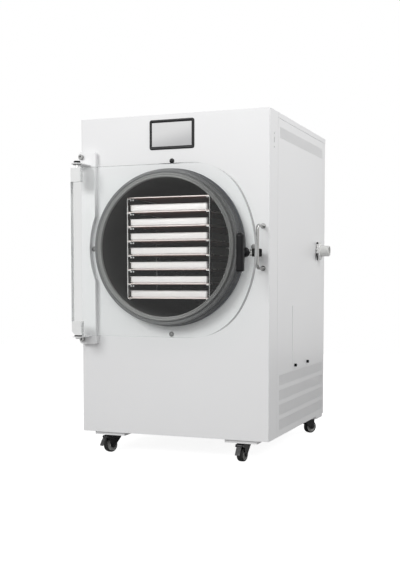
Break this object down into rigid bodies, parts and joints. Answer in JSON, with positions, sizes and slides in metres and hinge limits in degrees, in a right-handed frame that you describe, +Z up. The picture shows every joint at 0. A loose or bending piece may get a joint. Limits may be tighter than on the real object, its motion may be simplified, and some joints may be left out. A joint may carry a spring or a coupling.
{
  "type": "freeze dryer",
  "caption": "Floor-standing freeze dryer cabinet on casters, with a round vacuum chamber, a clear hinged door with a lever latch, a tray rack, a display and a side vacuum port.",
  "frame": {"origin": "on the floor, under the middle of the overall box, which takes in the latch lever and the vacuum port", "axes": "+Z up; the door faces -Y; +X is to the right as seen from the front"},
  "size_m": [0.746, 0.92, 1.188],
  "materials": {
    "cabinet_white": "satin white powder coat",
    "steel_plain": "plain zinc-plated steel",
    "stainless": "polished stainless steel",
    "drum_dark": "dark glossy drum wall",
    "collar_grey": "grey moulded rubber",
    "gasket_grey": "light grey silicone",
    "foam_black": "black closed-cell foam",
    "copper": "copper tube",
    "heater_red": "brownish red silicone pad",
    "acrylic_clear": "clear acrylic",
    "black_plastic": "black moulded plastic",
    "black_tyre": "black polyurethane tread",
    "dark_glass": "grey display window",
    "grey_plastic": "grey plastic",
    "pale_plastic": "pale nylon",
    "compressor_black": "black enamel",
    "aluminium_fins": "aluminium fins and frame"
  },
  "bodies": {
    "cabinet": {"base_pan": "steel_plain", "caster_plates": "cabinet_white", "caster_stems": "steel_plain", "chamber_drum": "drum_dark", "chassis_frame": "steel_plain", "compressor": "compressor_black", "condenser": "aluminium_fins", "cover_thumb_screws": "black_plastic", "door_gasket": "gasket_grey", "drum_cradles": "steel_plain", "drum_insulation": "foam_black", "evaporator_coil": "copper", "front_panel": "cabinet_white", "heater_pads": "heater_red", "hinge_bolts": "stainless", "hinge_bracket": "cabinet_white", "hinge_bushes": "grey_plastic", "hinge_pins": "stainless", "latch_keeper": "stainless", "left_side_panel": "cabinet_white", "neck_collar": "collar_grey", "panel_caps": "grey_plastic", "pin_caps": "black_plastic", "port_adapter": "pale_plastic", "port_clamp": "black_plastic", "power_inlet": "black_plastic", "rack_posts": "stainless", "rear_panel": "cabinet_white", "right_side_panel": "cabinet_white", "screen_bezel": "black_plastic", "screen_glass": "dark_glass", "service_port": "black_plastic", "shelf_plates": "stainless", "side_access_cover": "cabinet_white", "top_cover": "cabinet_white", "tray_1": "stainless", "tray_2": "stainless", "tray_3": "stainless", "tray_4": "stainless", "tray_5": "stainless", "tray_6": "stainless", "tray_7": "stainless", "vacuum_pipe": "stainless"},
    "door": {"door_plate": "acrylic_clear", "hinge_blocks": "cabinet_white", "latch_hub": "black_plastic"},
    "latch": {"latch_lever": "black_plastic", "latch_arm": "stainless", "latch_pad": "black_plastic"},
    "fan": {"fan_blades": "black_plastic"},
    "fork_fl": {"caster_fork_fl": "black_plastic"},
    "wheel_fl": {"caster_wheel_fl": "black_tyre"},
    "pedal_fl": {"brake_pedal_fl": "black_plastic"},
    "fork_fr": {"caster_fork_fr": "black_plastic"},
    "wheel_fr": {"caster_wheel_fr": "black_tyre"},
    "pedal_fr": {"brake_pedal_fr": "black_plastic"},
    "fork_rl": {"caster_fork_rl": "black_plastic"},
    "wheel_rl": {"caster_wheel_rl": "black_tyre"},
    "fork_rr": {"caster_fork_rr": "black_plastic"},
    "wheel_rr": {"caster_wheel_rr": "black_tyre"}
  },
  "joints": [
    {"name": "door_hinge", "type": "hinge", "parent": "cabinet", "child": "door", "pos_m": [-0.345, -0.3878, 0.719], "axis": [0, 0, -1], "range_deg": [0, 165]},
    {"name": "latch_turn", "type": "hinge", "parent": "door", "child": "latch", "pos_m": [0.273, -0.405, 0.711], "axis": [0, 1, 0], "range_deg": [0, 90]},
    {"name": "fan_spin", "type": "hinge", "parent": "cabinet", "child": "fan", "pos_m": [-0.023, 0.415, 0.255], "axis": [0, 1, 0], "continuous": true},
    {"name": "caster_swivel_fl", "type": "hinge", "parent": "cabinet", "child": "fork_fl", "pos_m": [-0.271, -0.245, 0.057], "axis": [0, 0, 1], "continuous": true},
    {"name": "wheel_spin_fl", "type": "hinge", "parent": "fork_fl", "child": "wheel_fl", "pos_m": [-0.28196, -0.26747, 0.025], "axis": [0.8988, -0.4384, 0], "continuous": true},
    {"name": "brake_pedal_fl_tip", "type": "hinge", "parent": "fork_fl", "child": "pedal_fl", "pos_m": [-0.29073, -0.28545, 0.056], "axis": [0.8988, -0.4384, 0], "range_deg": [0, 15]},
    {"name": "caster_swivel_fr", "type": "hinge", "parent": "cabinet", "child": "fork_fr", "pos_m": [0.225, -0.245, 0.057], "axis": [0, 0, 1], "continuous": true},
    {"name": "wheel_spin_fr", "type": "hinge", "parent": "fork_fr", "child": "wheel_fr", "pos_m": [0.22239, -0.26986, 0.025], "axis": [0.9945, -0.1045, 0], "continuous": true},
    {"name": "brake_pedal_fr_tip", "type": "hinge", "parent": "fork_fr", "child": "pedal_fr", "pos_m": [0.2203, -0.28975, 0.056], "axis": [0.9945, -0.1045, 0], "range_deg": [0, 15]},
    {"name": "caster_swivel_rl", "type": "hinge", "parent": "cabinet", "child": "fork_rl", "pos_m": [-0.313, 0.395, 0.057], "axis": [0, 0, 1], "continuous": true},
    {"name": "wheel_spin_rl", "type": "hinge", "parent": "fork_rl", "child": "wheel_rl", "pos_m": [-0.32839, 0.4147, 0.025], "axis": [-0.788, -0.6157, 0], "continuous": true},
    {"name": "caster_swivel_rr", "type": "hinge", "parent": "cabinet", "child": "fork_rr", "pos_m": [0.267, 0.395, 0.057], "axis": [0, 0, 1], "continuous": true},
    {"name": "wheel_spin_rr", "type": "hinge", "parent": "fork_rr", "child": "wheel_rr", "pos_m": [0.28239, 0.4147, 0.025], "axis": [-0.788, 0.6157, 0], "continuous": true}
  ]
}
